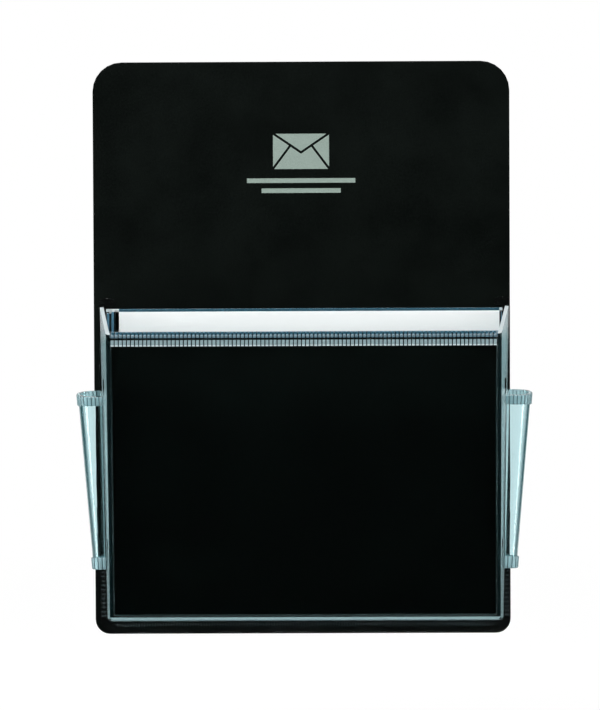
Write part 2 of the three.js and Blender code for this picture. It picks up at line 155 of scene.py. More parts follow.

# Painted highlight bars on the label rail's end stops, with painted shade between them
STOP_BAR_PITCH = 2.2 * MM
STOP_BAR_SHIFT = 0.77
STOP_BAR_EDGE = (0.12, 0.45)

# Ribbed edging on the front wall's top edge
EDGING_THICKNESS = 1 * MM
EDGING_TOP = 1.3 * MM
EDGING_HEIGHT = 5.6 * MM
EDGING_ROUND = 0.8 * MM
EDGING_FOOT_ROUND = 0.85 * MM
EDGING_END_GAP = 0.3 * MM
GROOVE_TOP = 1.35 * MM
GROOVE_HEIGHT = 1.1 * MM
GROOVE_DEPTH = 0.4 * MM
GROOVE_SLANT = 0.2 * MM
WELD_GAP = 0.2 * MM
RIB_PITCH = 1.93 * MM
EDGING_RIB_HEIGHT = 0.4 * MM
RIB_STEPS = 8
VALLEY_STEPS = (0, RIB_STEPS - 1)
ROUND_STEPS = 4

# Pen tubes and the ribbed bands round their mouths and feet
TUBE_LENGTH = 84 * MM
TUBE_FOOT_HEIGHT = 26.5 * MM
TUBE_DEPTH = 10.5 * MM
TUBE_MOUTH_RADIUS = 7 * MM
TUBE_MOUTH_FLAT = 4.9 * MM
TUBE_FOOT_RADIUS = 4 * MM
TUBE_FOOT_FLAT = 2.4 * MM
TUBE_WALL_GAP = 0.4 * MM
SIDES = (("left", -1), ("right", 1))
MOUTH_TILT = math.tan(math.radians(9))
COLLAR_HEIGHT = 5.6 * MM
FOOT_HEIGHT = 5.7 * MM
BAND_THICKNESS = 0.32 * MM
BAND_RIB_HEIGHT = 0.24 * MM
BAND_RIB_PITCH = 1.8 * MM
BAND_ROUND = 0.35 * MM
BAND_RIM_SHARE = 0.2
BAND_START = 0.8 * MM

# Beads that the welding tool leaves on the flange
SIDE_BEAD_PITCH = 2.1 * MM
SIDE_BEAD_WIDTH = 0.8 * MM
FOOT_BEAD_PITCH = 1.3 * MM
FOOT_BEAD_WIDTH = 0.55 * MM
FOOT_BEAD_LENGTH = 2.0 * MM
FOOT_BEAD_DROP = 1.6 * MM
BEAD_HEIGHT = 0.1 * MM
BEAD_LIFT = 0.02 * MM
BEAD_SEGMENTS = 12
BEAD_RINGS = 6
BEAD_MARGIN = 0.5 * MM
BEAD_CORNER = 8 * MM
BEAD_TOP = -40 * MM

# Print on the sheet: an envelope above ruled lines
PRINT_MIDDLE = Vector((0, 89 * MM))
PRINT_THICKNESS = 0.04 * MM
PRINT_LIFT = 0.005 * MM
ENVELOPE_SIZE = Vector((28 * MM, 18 * MM))
ENVELOPE_RISE = 5.5 * MM
ENVELOPE_FLAP = 9.5 * MM
ENVELOPE_FOLD = 0.36
ENVELOPE_SEAM = 1.1 * MM
RULED_LENGTHS = (52 * MM, 38 * MM)
RULED_DROP = 8.5 * MM
RULED_PITCH = 4.8 * MM
RULED_HEIGHT = 2.2 * MM

# Camera and the photograph's frame
FRAME_HEIGHT_PX = 710
PX_PER_M = 2076
CAMERA_DISTANCE = 1.8
CAMERA_YAW = math.radians(-0.7)
CAMERA_RISE = math.radians(1.9)
CAMERA_ROLL = math.radians(0.25)
AIM = Vector((-0.95 * MM, 0, -3.4 * MM))
SENSOR_MM = 36

# Studio: the floor, the lamps and the world. A pair is where a fade starts and ends
FLOOR_REACH = 4.0
FLOOR_DROP = 60 * MM
FLOOR_FADE = (0.35, 1.2)
FLOOR_NEAR_WHITE = 0.9
FLOOR_COLOUR = (0.86, 0.86, 0.86, 1)
SOFT_LAMPS = (
    ("key", Vector((-0.45, -0.8, 1.05)), (0.7, 0.7), 10.0),
    ("overhead", Vector((0, -0.15, 1.2)), (0.8, 0.5), 7.0),
)
STRIP_LAMPS = (
    ("left_strip", Vector((-0.95, -0.3, -0.08)), (0.24, 0.7), 8.2),
    ("right_strip", Vector((0.95, -0.3, -0.08)), (0.24, 0.7), 6.2),
)
BACKDROP_THROUGH = (0.88, 0.985)
BACKDROP_MIRRORED = (0.97, 0.995)
FLAG_TOP = (0.12, 0.3)
FLAG_COLOUR = (0.02, 0.09, 0.1, 1)
FRONT_FLAG = (-0.75, -0.88)
AMBIENT = 0.7
WHITE = (1, 1, 1, 1)


class Value:
    """A socket in a node tree. Python's operators on it add Math nodes."""

    def __init__(self, tree, socket):
        self.tree = tree
        self.socket = socket

    def math(self, operation, first, second=0.0):
        return self.tree.node("ShaderNodeMath", {"operation": operation}, {0: first, 1: second})

    def __add__(self, other):
        return self.math("ADD", self, other)

    def __sub__(self, other):
        return self.math("SUBTRACT", self, other)

    def __rsub__(self, other):
        return self.math("SUBTRACT", other, self)

    def __mul__(self, other):
        return self.math("MULTIPLY", self, other)

    def __truediv__(self, other):
        return self.math("DIVIDE", self, other)

    def fraction(self):
        return self.math("FRACT", self)

    def larger(self, other):
        return self.math("MAXIMUM", self, other)

    def smaller(self, other):
        return self.math("MINIMUM", self, other)

    def size(self):
        return self.math("ABSOLUTE", self)

    __radd__ = __add__
    __rmul__ = __mul__


class Tree:
    """A shader or geometry node tree that is filled node by node."""

    def __init__(self, tree):
        self.tree = tree

    def node(self, kind, settings=None, inputs=None, out=0):
        """Adds a node: its settings first, then the values or links of its sockets. Returns one output."""
        made = self.tree.nodes.new(kind)
        for name, setting in (settings or {}).items():
            if name == "stops":
                self.set_stops(made.color_ramp, setting)
            else:
                setattr(made, name, setting)
        for key, value in (inputs or {}).items():
            if isinstance(value, Value):
                self.tree.links.new(value.socket, made.inputs[key])
            else:
                made.inputs[key].default_value = value
        return Value(self, made.outputs[out]) if made.outputs else made

    def fade(self, value, start, end, first=0.0, last=1.0):
        """Goes from the first level to the last while the value goes from start to end."""
        return self.node("ShaderNodeMapRange", {}, {"Value": value, 1: start, 2: end, 3: first, 4: last})

    def mix(self, share, first, second):
        """A colour between two colours, which are the node's inputs 6 and 7."""
        return self.node("ShaderNodeMix", {"data_type": "RGBA"}, {0: share, 6: first, 7: second}, out=2)

    def part(self, vector, axis):
        """One of a vector's three numbers."""
        return self.node("ShaderNodeSeparateXYZ", {}, {0: vector}, out=axis)

    @staticmethod
    def set_stops(ramp, stops):
        """Gives a ramp its stops, each a place and a grey level."""
        while len(ramp.elements) < len(stops):
            ramp.elements.new(1)
        for element, (place, grey) in zip(ramp.elements, stops):
            element.position = place
            element.color = (grey, grey, grey, 1)


class Finish(Tree):
    """A material: a Principled surface and the textures that feed it."""

    def __init__(self, name):
        self.material = bpy.data.materials.new(name)
        self.material.use_nodes = True
        super().__init__(self.material.node_tree)
        self.tree.nodes.clear()
        self.place = self.node("ShaderNodeTexCoord", out="Object")

    def noise(self, size, detail=3.0, roughness=0.5):
        """Cloudy noise from 0 to 1 whose patches are about the given size in metres."""
        inputs = {"Vector": self.place, "Scale": 1 / size, "Detail": detail, "Roughness": roughness}
        return self.node("ShaderNodeTexNoise", {}, inputs)

    def ramp(self, value, *stops):
        return self.node("ShaderNodeValToRGB", {"stops": stops}, {"Fac": value})

    def bump(self, height, depth, strength=1.0):
        return self.node("ShaderNodeBump", {}, {"Height": height, "Distance": depth, "Strength": strength})

    def surface(self, **sockets):
        """Ends the material in a Principled surface. Socket names use _ for a space."""
        inputs = {name.replace("_", " "): value for name, value in sockets.items()}
        shader = self.node("ShaderNodeBsdfPrincipled", {}, inputs)
        self.node("ShaderNodeOutputMaterial", {}, {"Surface": shader})
        return self.material


class Recipe(Tree):
    """A geometry node tree with named sizes. It ends in realized geometry that has a material."""

    def __init__(self, name, *sizes):
        super().__init__(bpy.data.node_groups.new(name, "GeometryNodeTree"))
        self.keys = {}
        self.socket("Geometry", "NodeSocketGeometry")
        for size in sizes:
            self.socket(size, "NodeSocketFloat")
        self.socket("Material", "NodeSocketMaterial")
        self.tree.interface.new_socket("Geometry", in_out="OUTPUT", socket_type="NodeSocketGeometry")
        self.given = self.tree.nodes.new("NodeGroupInput")

    def socket(self, name, kind):
        made = self.tree.interface.new_socket(name, in_out="INPUT", socket_type=kind)
        self.keys[name] = made.identifier

    def size(self, name):
        return Value(self, self.given.outputs[name])

    def attribute(self, name, kind="FLOAT"):
        return self.node("GeometryNodeInputNamedAttribute", {"data_type": kind}, {"Name": name})

    def vector(self, x, y, z):
        return self.node("ShaderNodeCombineXYZ", {}, {0: x, 1: y, 2: z})

    def end(self, geometry):
        realized = self.node("GeometryNodeRealizeInstances", {}, {"Geometry": geometry})
        inputs = {"Geometry": realized, "Material": self.size("Material")}
        finished = self.node("GeometryNodeSetMaterial", {}, inputs)
        self.node("NodeGroupOutput", {}, {0: finished})
        return self

    def make(self, name, start, material, sizes):
        """A new piece: the start mesh taken through the tree."""
        piece = new_piece(name, start, material)
        modifier = piece.modifiers.new("recipe", "NODES")
        modifier.node_group = self.tree
        for size, value in sizes.items():
            modifier[self.keys[size]] = value
        modifier[self.keys["Material"]] = material
        return baked(piece)


def tray_half(depth, height):
    """Half of the tray's outer width at a depth in front of the sheet."""
    return FLANGE_HALF - FLANGE_RIM - SIDE_FLARE * depth - SIDE_SPREAD * (TRAY_TOP - height)


def black_vinyl():
    """Matte black sheet with a fine pebbled grain and faint cloudiness."""
    finish = Finish("black_vinyl")
    pebbles = finish.node(
        "ShaderNodeTexVoronoi",
        {"feature": "SMOOTH_F1"},
        {"Vector": finish.place, "Scale": 1 / VINYL_PEBBLE, "Smoothness": 0.6},
        out="Distance",
    )
    specks = finish.noise(VINYL_SPECK, 2)
    clouds = finish.noise(VINYL_CLOUD, 4, 0.6)
    flecks = finish.noise(VINYL_FLECK, 2, 0.6)
    shade = finish.ramp(clouds * 0.35 + specks * 0.15 + flecks * 0.5, (0.42, 0), (0.66, 1))
    grain = pebbles * 0.7 + specks * 0.3
    return finish.surface(
        Base_Color=finish.mix(shade, *VINYL_TINTS),
        Roughness=0.5 + 0.14 * clouds,
        Specular_IOR_Level=0.06,
        Normal=finish.bump(grain, VINYL_RELIEF),
    )


def clear_plastic(name, roughness, clearness, dark_tint, light_tint, patch=None):
    """Clear moulded plastic with flow waviness and slight rubs. The less clear it is, the paler it looks.

    A patch is a tint with the function for its share at each place.
    """
    finish = Finish(name)
    flow = finish.noise(PLASTIC_FLOW, 2, 0.4)
    rubs = finish.ramp(finish.noise(PLASTIC_RUB, 5, 0.65), (0.45, 0), (0.8, 1))
    tint = finish.mix(0.7 * flow + 0.3 * rubs, dark_tint, light_tint)
    if patch:
        patch_tint, share = patch
        tint = finish.mix(share(finish), tint, patch_tint)
    return finish.surface(
        Base_Color=tint,
        Roughness=roughness + 0.03 * rubs,
        Normal=finish.bump(flow, PLASTIC_RELIEF, 0.35),
        Transmission_Weight=clearness,
        IOR=PLASTIC_IOR,
    )


def corner_painted_shade(finish):
    """How much painted shade darkens the tray's front along its sides and foot, where it meets other walls.
    """
    x, y, z = (finish.part(finish.place, axis) for axis in "XYZ")
    depth = SHEET_FRONT - y
    from_side = tray_half(depth, z) - (x - TRAY_MIDDLE).size()
    from_foot = z - TRAY_FLOOR - FLOOR_LEAN * depth
    corner = finish.fade(from_side.smaller(from_foot), CORNER_DARK, CORNER_CLEAR, 1, 0)
    behind = FLOOR_DEPTH + FRONT_LEAN * (z - TRAY_FLOOR) - depth
    return corner * finish.fade(behind, TRAY_WALL, CORNER_DARK, 1, 0)


def mouth_painted_light(finish):
    """How much painted light pales a wall towards the tray's mouth."""
    z = finish.part(finish.place, "Z")
    return finish.fade(z, LIP_HEIGHT - MOUTH_FADE, LIP_HEIGHT + MOUTH_FADE)


def stop_painted_shade(finish):
    """How much painted shade darkens a card stop between the painted highlight bars of its thick sides."""
    x = finish.part(finish.place, "X")
    across = 2 * (x / STOP_BAR_PITCH + STOP_BAR_SHIFT).fraction() - 1
    return finish.fade(across * across, *STOP_BAR_EDGE)


def magnet_rubber():
    """Calendered magnet rubber: brown-black, with the faint stripes of its poles."""
    finish = Finish("magnet_rubber")
    stripes = finish.node(
        "ShaderNodeTexWave",
        {"wave_type": "BANDS", "bands_direction": "Z"},
        {"Vector": finish.place, "Scale": 1 / RUBBER_POLE, "Distortion": 0.6, "Detail": 2.0},
        out="Fac",
    )
    grit = finish.noise(RUBBER_GRIT, 4, 0.7)
    wear = finish.ramp(finish.noise(RUBBER_WEAR, 5, 0.6), (0.35, 0), (0.8, 1))
    shade = 0.45 * stripes + 0.3 * grit + 0.25 * wear
    return finish.surface(
        Base_Color=finish.mix(shade, *RUBBER_TINTS),
        Roughness=0.62 + 0.2 * grit,
        Normal=finish.bump(grit * 0.6 + stripes * 0.4, RUBBER_RELIEF),
    )


def adhesive_tape():
    """Double-sided tape: an off-white tissue with short fibres."""
    finish = Finish("adhesive_tape")
    fibres = finish.noise(TAPE_FIBRE, 6, 0.75)
    blots = finish.noise(TAPE_BLOT, 2)
    return finish.surface(
        Base_Color=finish.mix(0.6 * fibres + 0.4 * blots, *TAPE_TINTS),
        Roughness=0.5 + 0.2 * fibres,
        Normal=finish.bump(fibres, TAPE_RELIEF),
    )


def white_card():
    """Uncoated white card with a soft fibre grain."""
    finish = Finish("white_card")
    fibres = finish.noise(CARD_FIBRE, 6, 0.7)
    clouds = finish.noise(CARD_CLOUD, 3)
    return finish.surface(
        Base_Color=finish.mix(0.5 * fibres + 0.5 * clouds, *CARD_TINTS),
        Roughness=0.72 + 0.15 * fibres,
        Specular_IOR_Level=0.3,
        Normal=finish.bump(fibres, CARD_RELIEF),
    )


def print_ink():
    """Pale grey-green screen ink, a little broken by the sheet's grain."""
    finish = Finish("print_ink")
    breaks = finish.ramp(finish.noise(INK_BREAK, 4, 0.7), (0.3, 0), (0.62, 1))
    return finish.surface(
        Base_Color=finish.mix(breaks, *INK_TINTS),
        Roughness=0.55 + 0.15 * breaks,
        Normal=finish.bump(breaks, INK_RELIEF),
    )


# The finishes in use. A clear one has its roughness, its clearness and its two tints
# Painted shade: the near-black tint that darkens the tray front's corners and the stops between their bars
PAINTED_SHADE_TINT = (0.006, 0.009, 0.009, 1)
# Painted light: the pale tint that walls take towards the tray's mouth
PAINTED_LIGHT_TINT = (0.9, 0.98, 1.0, 1)
CLEAR_TINTS = ((0.80, 0.915, 0.925, 1), (0.845, 0.94, 0.95, 1))

BLACK = black_vinyl()
CLEAR = clear_plastic("clear_plastic", 0.012, 1.0, *CLEAR_TINTS)
# The tray's front, with painted shade along its sides and foot
TRAY = clear_plastic("tray_plastic", 0.012, 1.0, *CLEAR_TINTS, (PAINTED_SHADE_TINT, corner_painted_shade))
# A faint haze of painted light that lifts the flange and its ears over the sheet, which the clear plastic
# shades
FLANGE_PAINTED_LIGHT = clear_plastic("flange_plastic", 0.05, 0.996, (0.70, 0.84, 0.82, 1), (0.8, 0.9, 0.88, 1))
# A paler copy of the clear plastic, painted light on the tray's walls, underside, foot strip and the tubes'
# flats
WALL_PAINTED_LIGHT = clear_plastic(
    "wall_plastic", 0.15, 0.52, (0.41, 0.61, 0.64, 1), (0.49, 0.69, 0.72, 1), (PAINTED_LIGHT_TINT, mouth_painted_light)
)
# The palest copy, painted light on faces that face up at the tray's mouth, on the rail beside the card and
# along the edging's foot
RIM_PAINTED_LIGHT = clear_plastic("rim_plastic", 0.16, 0.5, (0.84, 0.96, 1.0, 1), (0.92, 0.99, 1.0, 1))
RIBBED = clear_plastic("ribbed_plastic", 0.06, 0.62, (0.41, 0.57, 0.6, 1), (0.52, 0.68, 0.71, 1))
TUBE = clear_plastic("tube_plastic", 0.02, 1.0, (0.76, 0.905, 0.925, 1), (0.81, 0.935, 0.95, 1))
BAND = clear_plastic("band_plastic", 0.06, 0.62, (0.33, 0.48, 0.51, 1), (0.43, 0.58, 0.61, 1))
# Painted light tinted blue, on the edging's top and on the rail where it faces up or shows above the card
BLUE_PAINTED_LIGHT = clear_plastic("blue_edge_plastic", 0.05, 0.5, (0.04, 0.14, 0.2, 1), (0.065, 0.19, 0.27, 1))
# Painted highlight: a paler copy of the blue along the edging's crest
CREST_PAINTED_HIGHLIGHT = clear_plastic("crest_plastic", 0.05, 0.5, (0.12, 0.195, 0.235, 1), (0.19, 0.265, 0.305, 1))
# Painted light tinted blue on the stops' fronts, with painted shade between the bars
STOP_PAINTED_LIGHT = clear_plastic(
    "stop_plastic", 0.05, 0.5, (0.10, 0.26, 0.38, 1), (0.16, 0.36, 0.50, 1), (PAINTED_SHADE_TINT, stop_painted_shade)
)
# Painted shade in the bands' valleys and on their top and bottom faces
GAP_PAINTED_SHADE = clear_plastic("gap_plastic", 0.05, 0.75, (0.07, 0.12, 0.13, 1), (0.11, 0.17, 0.18, 1))
# Painted shade in the edging's groove and in its ribs' valleys
EDGING_PAINTED_SHADE = clear_plastic("shade_plastic", 0.05, 0.9, (0.012, 0.015, 0.014, 1), (0.02, 0.026, 0.025, 1))
BEAD = clear_plastic("bead_plastic", 0.12, 0.993, (0.55, 0.70, 0.72, 1), (0.66, 0.80, 0.82, 1))
MAGNET = magnet_rubber()
TAPE = adhesive_tape()
CARD = white_card()
INK = print_ink()


def new_piece(name, mesh, *materials):
    """A new object in the scene, with the given mesh and materials."""
    mesh.materials.clear()
    for material in materials:
        mesh.materials.append(material)
    piece = bpy.data.objects.new(name, mesh)
    bpy.context.scene.collection.objects.link(piece)
    return piece


def baked(piece):
    """Turns a piece's modifiers into its mesh."""
    evaluated = piece.evaluated_get(bpy.context.evaluated_depsgraph_get())
    mesh = bpy.data.meshes.new_from_object(evaluated)
    piece.modifiers.clear()
    piece.data = mesh
    return piece


def smoothed(mesh, angle=EDGE_ANGLE):
    """Shades a mesh smooth, apart from its sharp edges."""
    mesh.shade_smooth()
    mesh.set_sharp_from_angle(angle=angle)
    return mesh


def stand_for(piece, node):
    """The piece takes a CAD node's place and moves with its body."""
    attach(piece, frame["nodes"][node]["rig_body"])
    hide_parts(node)


def passes_light(piece):
    """Light goes on through a clear piece to what stands beside it."""
    piece.visible_shadow = False
    piece.visible_diffuse = False


def finished_copy(node, name, edge, *materials, flats=True, cuts=()):
    """A copy of a CAD node with its faces joined, its edges rounded and its curves shaded smooth.

    With flats, large faces stay flat in shading up to their rounded edges. Each cut is the point of
    a plane that lies nearest to the origin, and parts the faces that cross it.
    """
    mesh = frame["nodes"][node].data.copy()
    shape = bmesh.new()
    shape.from_mesh(mesh)
    bmesh.ops.remove_doubles(shape, verts=shape.verts, dist=MERGE_DISTANCE)
    bmesh.ops.dissolve_limit(shape, angle_limit=FLAT_ANGLE, verts=shape.verts, edges=shape.edges)
    for cut in cuts:
        geometry = shape.verts[:] + shape.edges[:] + shape.faces[:]
        bmesh.ops.bisect_plane(shape, geom=geometry, plane_co=cut, plane_no=cut.normalized())
    shape.to_mesh(mesh)
    shape.free()
    if "custom_normal" in mesh.attributes:
        mesh.attributes.remove(mesh.attributes["custom_normal"])
    piece = new_piece(name, smoothed(mesh), *materials)
    if edge:
        bevel = piece.modifiers.new("edges", "BEVEL")
        bevel.width = edge
        bevel.segments = EDGE_SEGMENTS
        bevel.limit_method = "ANGLE"
        bevel.angle_limit = EDGE_ANGLE
        bevel.use_clamp_overlap = True
        bevel.harden_normals = not flats
    if flats:
        piece.modifiers.new("flats", "WEIGHTED_NORMAL").keep_sharp = True
    return baked(piece)


def plain_pieces():
    """The pieces whose CAD form only needs its edges and its finish."""
    plan = [
        ("back_plate", "backing_sheet", SHEET_EDGE, BLACK, "black_sheet"),
        ("rail_tape", "rail_tape_film", 0, TAPE, "adhesive_tape"),
        ("index_card", "label_card", CARD_EDGE, CARD, "white_card"),
    ]
    for where in ("top", "middle", "bottom"):
        plan.append((f"magnet_strip_{where}", f"magnet_{where}", MAGNET_EDGE, MAGNET, "magnet_rubber"))
        plan.append((f"magnet_tape_{where}", f"magnet_film_{where}", 0, TAPE, "adhesive_tape"))
    for node, name, edge, material, slot in plan:
        stand_for(finished_copy(node, name, edge, material), node)


def tubes():
    """The pen tubes. The flat of each, which lies on the tray's wall, takes the wall's painted light."""
    clear, wall = range(2)
    for name, side in SIDES:
        piece = finished_copy(f"pen_tube_{name}", f"pen_holder_{name}", TUBE_EDGE, TUBE, WALL_PAINTED_LIGHT, flats=False)
        to_tube = tube_frame(side).inverted()
        for face in piece.data.polygons:
            off_flat = abs((to_tube @ face.center).x - TUBE_WALL_GAP)
            face.material_index = wall if off_flat < FLAT_MARGIN else clear
        stand_for(piece, f"pen_tube_{name}")
        passes_light(piece)


def tray():
    """The clear tray. Painted light makes its walls and floor paler than its front, and its mouth palest.
    """
    materials = (TRAY, WALL_PAINTED_LIGHT, RIM_PAINTED_LIGHT, FLANGE_PAINTED_LIGHT)
    foot_cut = Vector((0, 0, FOOT_LINE))
    piece = finished_copy("pocket_tray", "clear_tray", TRAY_EDGE, *materials, cuts=[foot_cut])
    for face in piece.data.polygons:
        face.material_index = tray_zone(face.center, face.normal)
    stand_for(piece, "pocket_tray")


def tray_zone(centre, normal):
    """Which of the tray's finishes a face has, from its centre and the way it faces."""
    clear, wall, rim, flange = range(4)
    depth = SHEET_FRONT - centre.y
    if depth < FLANGE_THICKNESS + ZONE_MARGIN:
        return flange
    # Besides the flange and the clear front, the zones are painted light: faces up at the mouth, the outer
    # sides, the underside and a strip along the front's foot
    mouth = TRAY_TOP - MOUTH_SLOPE * depth
    if normal.z > HALFWAY and centre.z > mouth - ZONE_MARGIN:
        return rim
    outer_half = tray_half(depth, centre.z)
    if abs(normal.x) > SQUARELY and abs(centre.x - TRAY_MIDDLE) > outer_half - ZONE_MARGIN:
        return wall
    underside = TRAY_FLOOR + FLOOR_LEAN * depth
    if normal.z < -MOSTLY and centre.z < underside + ZONE_MARGIN:
        return wall
    if normal.y < -SOMEWHAT and centre.z < FOOT_LINE:
        return wall
    return clear


def rail():
    """The label rail. Its end stops and what shows above the card have painted light."""
    card_low, card_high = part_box("index_card")
    stop_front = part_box("label_rail")[0].y
    cuts = [Vector((0, 0, card_high.z)), Vector((card_low.x, 0, 0)), Vector((card_high.x, 0, 0))]
    piece = finished_copy("label_rail", "card_rail", RAIL_EDGE, CLEAR, BLUE_PAINTED_LIGHT, RIM_PAINTED_LIGHT, STOP_PAINTED_LIGHT, cuts=cuts)
    clear, blue, rim, stop = range(4)
    for face in piece.data.polygons:
        beside_card = not card_low.x < face.center.x < card_high.x
        above_card = face.center.z > card_high.z
        in_front = face.normal.y < -MOSTLY
        # Faces up and the front above the card get painted light: pale beside the card, blue over it
        if face.normal.z > MOSTLY or (in_front and above_card):
            face.material_index = rim if beside_card else blue
        elif in_front and face.center.y < stop_front + ZONE_MARGIN:
            face.material_index = stop
        else:
            face.material_index = clear
    stand_for(piece, "label_rail")


def ribbing():
    """Ribs across a band: each point moves outward by its place between two valleys."""
    recipe = Recipe("ribbing", "Rib Pitch", "Rib Height")
    across = 2 * (recipe.attribute("along") / recipe.size("Rib Pitch")).fraction() - 1
    rise = recipe.size("Rib Height") * (1 - across * across)
    inputs = {0: recipe.attribute("outward", "FLOAT_VECTOR"), "Scale": rise}
    offset = recipe.node("ShaderNodeVectorMath", {"operation": "SCALE"}, inputs)
    inputs = {"Geometry": recipe.size("Geometry"), "Offset": offset}
    return recipe.end(recipe.node("GeometryNodeSetPosition", {}, inputs))


def lofted(name, rings, zones, valley_zone):
    """A closed mesh through rings of (point, outward) pairs, each ring with its distance along the band.

    The face after each point of a ring has that point's zone, and both ends have zone 0. In a valley,
    zones above 0 give way to the valley's own.
    """
    count = len(zones)
    last = (len(rings) - 1) * count
    faces = [tuple(range(count)), tuple(range(last, last + count))]
    face_zones = [0, 0]
    for r in range(len(rings) - 1):
        base = r * count
        valley = r % RIB_STEPS in VALLEY_STEPS
        for i in range(count):
            j = (i + 1) % count
            faces.append((base + i, base + j, base + count + j, base + count + i))
            face_zones.append(valley_zone if valley and zones[i] else zones[i])
    mesh = bpy.data.meshes.new(name)
    mesh.from_pydata([point for _, ring in rings for point, _ in ring], [], faces)
    along = mesh.attributes.new("along", "FLOAT", "POINT")
    along.data.foreach_set("value", [distance for distance, ring in rings for _ in ring])
    outward = mesh.attributes.new("outward", "FLOAT_VECTOR", "POINT")
    outward.data.foreach_set("vector", [part for _, ring in rings for _, way in ring for part in way])
    mesh.attributes.new("zone", "INT", "FACE").data.foreach_set("value", face_zones)
    shape = bmesh.new()
    shape.from_mesh(mesh)
    bmesh.ops.recalc_face_normals(shape, faces=shape.faces)
    shape.to_mesh(mesh)
    shape.free()
    return mesh


def ribbed_piece(node, name, start, pitch, height, materials):
    """A lofted band with ribs, in a CAD node's place."""
    sizes = {"Rib Pitch": pitch, "Rib Height": height}
    piece = RIBBING.make(name, start, materials[0], sizes)
    mesh = smoothed(piece.data, RIB_ANGLE)
    for material in materials[1:]:
        mesh.materials.append(material)
    for face, zone in zip(mesh.polygons, mesh.attributes["zone"].data):
        face.material_index = zone.value
    stand_for(piece, node)
    passes_light(piece)


def rounded(corners, steps=ROUND_STEPS):
    """Points round a polygon of (place, radius) corners, each with the way that the outline faces there."""
    points = []
    count = len(corners)
    for i, (corner, radius) in enumerate(corners):
        back = (corners[i - 1][0] - corner).normalized()
        ahead = (corners[(i + 1) % count][0] - corner).normalized()
        inward = (back + ahead).normalized()
        half_angle = math.acos(max(-1, min(1, back.dot(ahead)))) / 2
        if not radius:
            points.append((corner, -inward))
            continue
        centre = corner + inward * radius / math.sin(half_angle)
        start = corner + back * radius / math.tan(half_angle) - centre
        turn = math.pi - 2 * half_angle
        sense = math.copysign(1, back.x * ahead.y - back.y * ahead.x)
        for step in range(steps + 1):
            spoke = Matrix.Rotation(-sense * turn * step / steps, 2) @ start
            points.append((centre + spoke, spoke.normalized()))
    return points


def edging():
    """The U-shaped edging over the front wall's top edge, ribbed in front and above."""
    lean = math.hypot(1, FRONT_LEAN)
    half = tray_half(LIP_DEPTH, LIP_HEIGHT) - TRAY_WALL - EDGING_END_GAP
    up = Vector((0, -FRONT_LEAN, 1)) / lean
    out = Vector((0, -1, -FRONT_LEAN)) / lean
    lip = Vector((TRAY_MIDDLE, SHEET_FRONT - LIP_DEPTH, LIP_HEIGHT))
    mouth_fall = (MOUTH_SLOPE - FRONT_LEAN) / (1 + MOUTH_SLOPE * FRONT_LEAN)

    front = WELD_GAP + EDGING_THICKNESS
    inside = -(TRAY_WALL + WELD_GAP)
    rear = inside - EDGING_THICKNESS
    groove_foot = -GROOVE_TOP - GROOVE_HEIGHT
    corners = [
        (Vector((-EDGING_HEIGHT, front)), EDGING_FOOT_ROUND),
        (Vector((groove_foot, front)), 0),
        (Vector((groove_foot + GROOVE_SLANT, front - GROOVE_DEPTH)), 0),
        (Vector((-GROOVE_TOP - GROOVE_SLANT, front - GROOVE_DEPTH)), 0),
        (Vector((-GROOVE_TOP, front)), 0),
        (Vector((-front * mouth_fall, front)), EDGING_ROUND),
        (Vector((-rear * mouth_fall, rear)), EDGING_ROUND),
        (Vector((-EDGING_HEIGHT, rear)), 0),
        (Vector((-EDGING_HEIGHT, inside)), 0),
        (Vector((-EDGING_TOP, inside)), 0),
        (Vector((-EDGING_TOP, WELD_GAP)), 0),
        (Vector((-EDGING_HEIGHT, WELD_GAP)), 0),
    ]
    # Three rounded corners and the groove's four points make the ribbed side, with the groove left smooth
    arc = ROUND_STEPS + 1
    ribbed_points = 3 * arc + 4
    # The ribbed front is pale; the groove and the ribs' valleys have painted shade, the crest a painted
    # highlight, the top painted light tinted blue and the foot's rounding painted light
    clear, pale, dark, crest, blue, foot = range(6)
    zones = [foot] * ROUND_STEPS + [pale] + [dark] * 3 + [crest] * arc + [blue] * ribbed_points
    section = []
    for i, (place, facing) in enumerate(rounded(corners)):
        share = max(0, min(1, facing.x + facing.y))
        if i >= ribbed_points or zones[i] == dark:
            share = 0
        section.append((lip + up * place.x + out * place.y, (up * facing.x + out * facing.y) * share))
    zones = zones[:ribbed_points] + [clear] * (len(section) - ribbed_points)

    ribs = round(2 * half / RIB_PITCH)
    rings = []
    for step in range(ribs * RIB_STEPS + 1):
        distance = 2 * half * step / (ribs * RIB_STEPS)
        shift = Vector((distance - half, 0, 0))
        rings.append((distance, [(point + shift, outward) for point, outward in section]))
    materials = (CLEAR, RIBBED, EDGING_PAINTED_SHADE, CREST_PAINTED_HIGHLIGHT, BLUE_PAINTED_LIGHT, RIM_PAINTED_LIGHT)
    start = lofted("ribbed_edging", rings, zones, dark)
    ribbed_piece("mouth_strip", "ribbed_edging", start, 2 * half / ribs, EDGING_RIB_HEIGHT, materials)


def tube_frame(side):
    """A tube's own axes: X out from the tray's wall, Z up along it, from where its mouth meets the wall."""
    out = Vector((side, -SIDE_FLARE, -SIDE_SPREAD)).normalized()
    up = (Vector((0, 0, 1)) - out * out.z).normalized()
    top = TRAY_FLOOR + TUBE_FOOT_HEIGHT + TUBE_LENGTH
    place = Vector((TRAY_MIDDLE + side * tray_half(TUBE_DEPTH, top), SHEET_FRONT - TUBE_DEPTH, top))
    axes = Matrix((out, up.cross(out), up)).transposed()
    return Matrix.Translation(place) @ axes.to_4x4()


